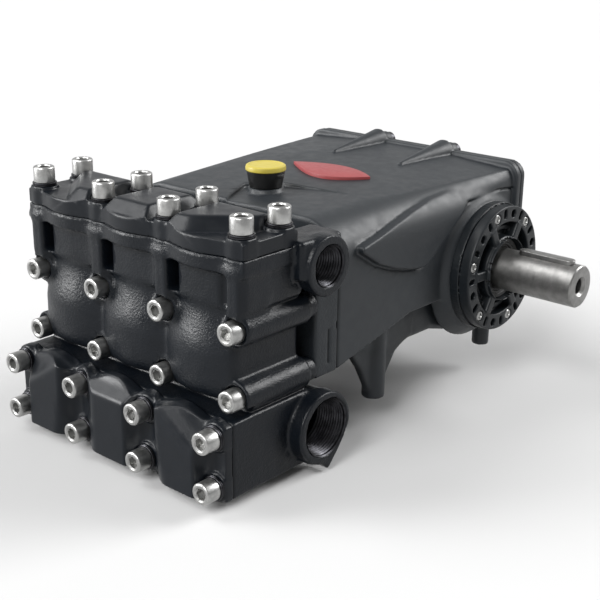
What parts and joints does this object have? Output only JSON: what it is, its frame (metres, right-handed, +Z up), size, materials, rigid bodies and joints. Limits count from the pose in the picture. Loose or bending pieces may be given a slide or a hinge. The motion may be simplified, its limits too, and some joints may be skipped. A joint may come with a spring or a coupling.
{
  "type": "pressure washer pump",
  "caption": "Industrial plunger pump: wide crankcase with drive shaft and feet, black pump head with bolted valve covers, side ports, oil cap.",
  "frame": {"origin": "point on the plane of the four feet, straight below the middle of the crankshaft axis", "axes": "+X along the crankshaft towards the drive shaft end, +Y from the pump head to the back of the crankcase, +Z up"},
  "size_m": [0.342, 0.3978, 0.2069],
  "materials": {
    "crankcase": "satin black paint over cast aluminium, fine orange peel",
    "pump_head": "gloss black paint over cast iron, cast texture",
    "valve_covers": "gloss black paint on machined steel",
    "bearing_cover": "semi-gloss black",
    "screws": "bright zinc plated steel",
    "shaft": "ground steel",
    "drive_steel": "machined casting",
    "bearing_steel": "ground steel",
    "plungers": "polished ceramic",
    "seals": "matt black rubber",
    "oil_cap": "yellow moulded disc on a black tapered body",
    "sight_glass": "clear domed glass"
  },
  "bodies": {
    "pump_body": {"crankcase": "crankcase", "rear_cover": "crankcase", "sight_glass": "sight_glass", "drain_plug": "screws", "main_bearing_right": "bearing_steel", "main_bearing_left": "bearing_steel", "bearing_cover_right": "bearing_cover", "bearing_cover_left": "bearing_cover", "shaft_seal": "seals", "pump_head": "pump_head", "top_valve_cover": "valve_covers", "front_valve_cover": "valve_covers", "packing_1": "seals", "packing_2": "seals", "packing_3": "seals", "top_screw_1": "screws", "top_screw_2": "screws", "top_screw_3": "screws", "top_screw_4": "screws", "top_screw_5": "screws", "top_screw_6": "screws", "top_screw_7": "screws", "top_screw_8": "screws", "head_screw_1": "screws", "head_screw_2": "screws", "head_screw_3": "screws", "head_screw_4": "screws", "head_screw_5": "screws", "head_screw_6": "screws", "head_screw_7": "screws", "head_screw_8": "screws", "front_cover_screw_1": "screws", "front_cover_screw_2": "screws", "front_cover_screw_3": "screws", "front_cover_screw_4": "screws", "front_cover_screw_5": "screws", "front_cover_screw_6": "screws", "front_cover_screw_7": "screws", "front_cover_screw_8": "screws"},
    "crank": {"crankshaft": "shaft", "shaft_key": "shaft"},
    "oil_filler_cap": {"oil_cap": "oil_cap"},
    "rod_1": {"con_rod_1": "drive_steel", "wrist_pin_1": "bearing_steel"},
    "plunger_unit_1": {"crosshead_1": "drive_steel", "plunger_1": "plungers"},
    "suction_poppet_1": {"suction_valve_1": "bearing_steel"},
    "discharge_poppet_1": {"discharge_valve_1": "bearing_steel"},
    "rod_2": {"con_rod_2": "drive_steel", "wrist_pin_2": "bearing_steel"},
    "plunger_unit_2": {"crosshead_2": "drive_steel", "plunger_2": "plungers"},
    "suction_poppet_2": {"suction_valve_2": "bearing_steel"},
    "discharge_poppet_2": {"discharge_valve_2": "bearing_steel"},
    "rod_3": {"con_rod_3": "drive_steel", "wrist_pin_3": "bearing_steel"},
    "plunger_unit_3": {"crosshead_3": "drive_steel", "plunger_3": "plungers"},
    "suction_poppet_3": {"suction_valve_3": "bearing_steel"},
    "discharge_poppet_3": {"discharge_valve_3": "bearing_steel"}
  },
  "joints": [
    {"name": "crank_spin", "type": "hinge", "parent": "pump_body", "child": "crank", "pos_m": [0, 0, 0.088], "axis": [1, 0, 0], "continuous": true},
    {"name": "rod_1_turn", "type": "hinge", "parent": "crank", "child": "rod_1", "pos_m": [-0.07, -0.013, 0.088], "axis": [1, 0, 0], "continuous": true},
    {"name": "rod_2_turn", "type": "hinge", "parent": "crank", "child": "rod_2", "pos_m": [0, 0.0065, 0.07674], "axis": [1, 0, 0], "continuous": true},
    {"name": "rod_3_turn", "type": "hinge", "parent": "crank", "child": "rod_3", "pos_m": [0.07, 0.0065, 0.09926], "axis": [1, 0, 0], "continuous": true},
    {"name": "plunger_1_stroke", "type": "slide", "parent": "pump_body", "child": "plunger_unit_1", "axis": [0, 1, 0], "range_m": [0, 0.026]},
    {"name": "plunger_2_stroke", "type": "slide", "parent": "pump_body", "child": "plunger_unit_2", "axis": [0, 1, 0], "range_m": [-0.0195, 0.0065]},
    {"name": "plunger_3_stroke", "type": "slide", "parent": "pump_body", "child": "plunger_unit_3", "axis": [0, 1, 0], "range_m": [-0.0195, 0.0065]},
    {"name": "suction_valve_1_lift", "type": "slide", "parent": "pump_body", "child": "suction_poppet_1", "axis": [0, -1, 0], "range_m": [0, 0.005], "stiffness_N_per_m": 1500, "springref_m": -0.003},
    {"name": "suction_valve_2_lift", "type": "slide", "parent": "pump_body", "child": "suction_poppet_2", "axis": [0, -1, 0], "range_m": [0, 0.005], "stiffness_N_per_m": 1500, "springref_m": -0.003},
    {"name": "suction_valve_3_lift", "type": "slide", "parent": "pump_body", "child": "suction_poppet_3", "axis": [0, -1, 0], "range_m": [0, 0.005], "stiffness_N_per_m": 1500, "springref_m": -0.003},
    {"name": "discharge_valve_1_lift", "type": "slide", "parent": "pump_body", "child": "discharge_poppet_1", "axis": [0, 0, 1], "range_m": [0, 0.005], "stiffness_N_per_m": 1500, "springref_m": -0.003},
    {"name": "discharge_valve_2_lift", "type": "slide", "parent": "pump_body", "child": "discharge_poppet_2", "axis": [0, 0, 1], "range_m": [0, 0.005], "stiffness_N_per_m": 1500, "springref_m": -0.003},
    {"name": "discharge_valve_3_lift", "type": "slide", "parent": "pump_body", "child": "discharge_poppet_3", "axis": [0, 0, 1], "range_m": [0, 0.005], "stiffness_N_per_m": 1500, "springref_m": -0.003},
    {"name": "oil_cap_lift", "type": "slide", "parent": "pump_body", "child": "oil_filler_cap", "axis": [0, 0, 1], "range_m": [0, 0.06]}
  ],
  "couplings": [
    {"joint": "rod_1_turn", "follows": "crank_spin", "ratio": -1},
    {"joint": "rod_2_turn", "follows": "crank_spin", "ratio": -1},
    {"joint": "rod_3_turn", "follows": "crank_spin", "ratio": -1}
  ]
}
